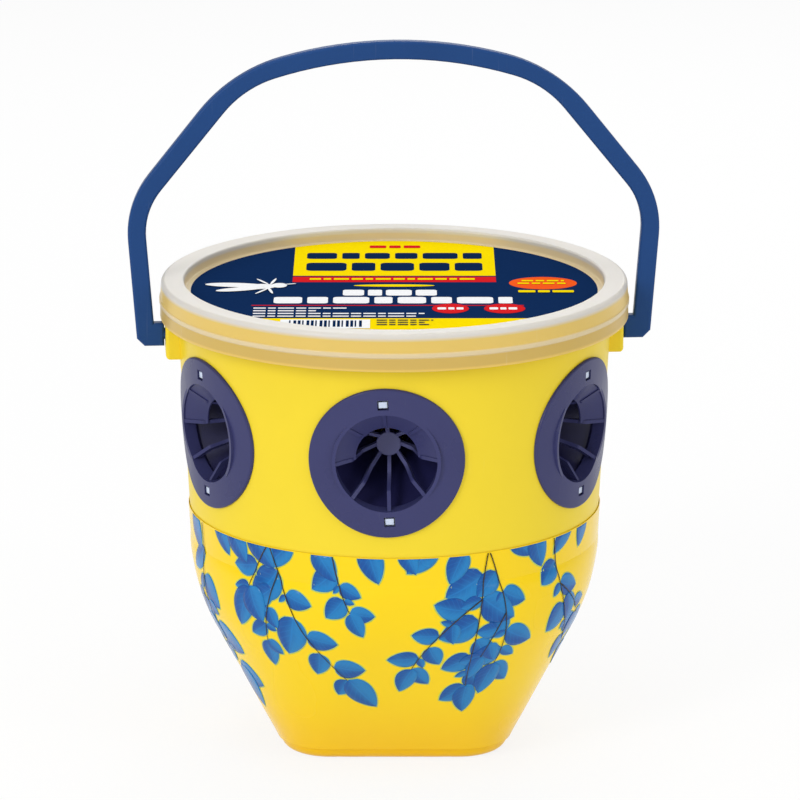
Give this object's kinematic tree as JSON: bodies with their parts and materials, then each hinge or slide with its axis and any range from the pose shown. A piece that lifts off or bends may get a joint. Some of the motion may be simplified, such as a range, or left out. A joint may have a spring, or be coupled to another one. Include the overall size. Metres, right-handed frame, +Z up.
{
  "type": "bucket fly trap",
  "caption": "Bucket fly trap: tapered tub with screened entry cones round its wall, pressed-on lid, printed sleeve and swinging carry handle.",
  "frame": {"origin": "centre of the flat foot, on the surface the trap stands on", "axes": "+Z up through the lid and the handle's top; X along the handle's pivot axis; -Y to the front, where one entry faces within 6 degrees"},
  "size_m": [0.249, 0.2204, 0.3336],
  "materials": {
    "bucket": "satin yellow moulded plastic",
    "sleeve": "glossy printed film",
    "lid": "milky translucent natural plastic",
    "lid_label": "glossy printed film",
    "handle": "satin blue moulded plastic",
    "screen": "glossy navy moulded plastic",
    "ring": "pale moulded plastic",
    "funnel": "dark moulded plastic"
  },
  "bodies": {
    "tub": {"bucket": "bucket", "label_sleeve": "sleeve", "entry_bezel_front": "screen", "entry_bezel_front_right": "screen", "entry_bezel_back_right": "screen", "entry_bezel_back": "screen", "entry_bezel_back_left": "screen", "entry_bezel_front_left": "screen", "entry_ring_front": "ring", "entry_ring_front_right": "ring", "entry_ring_back_right": "ring", "entry_ring_back": "ring", "entry_ring_back_left": "ring", "entry_ring_front_left": "ring", "entry_funnel_front": "funnel", "entry_funnel_front_right": "funnel", "entry_funnel_back_right": "funnel", "entry_funnel_back": "funnel", "entry_funnel_back_left": "funnel", "entry_funnel_front_left": "funnel"},
    "cover": {"lid": "lid", "lid_label": "lid_label"},
    "bail": {"handle": "handle"}
  },
  "joints": [
    {"name": "handle_swing", "type": "hinge", "parent": "tub", "child": "bail", "pos_m": [0, 0, 0.1955], "axis": [1, 0, 0], "range_deg": [-125, 125]},
    {"name": "lid_lift", "type": "slide", "parent": "tub", "child": "cover", "axis": [0, 0, 1], "range_m": [0, 0.03]}
  ]
}
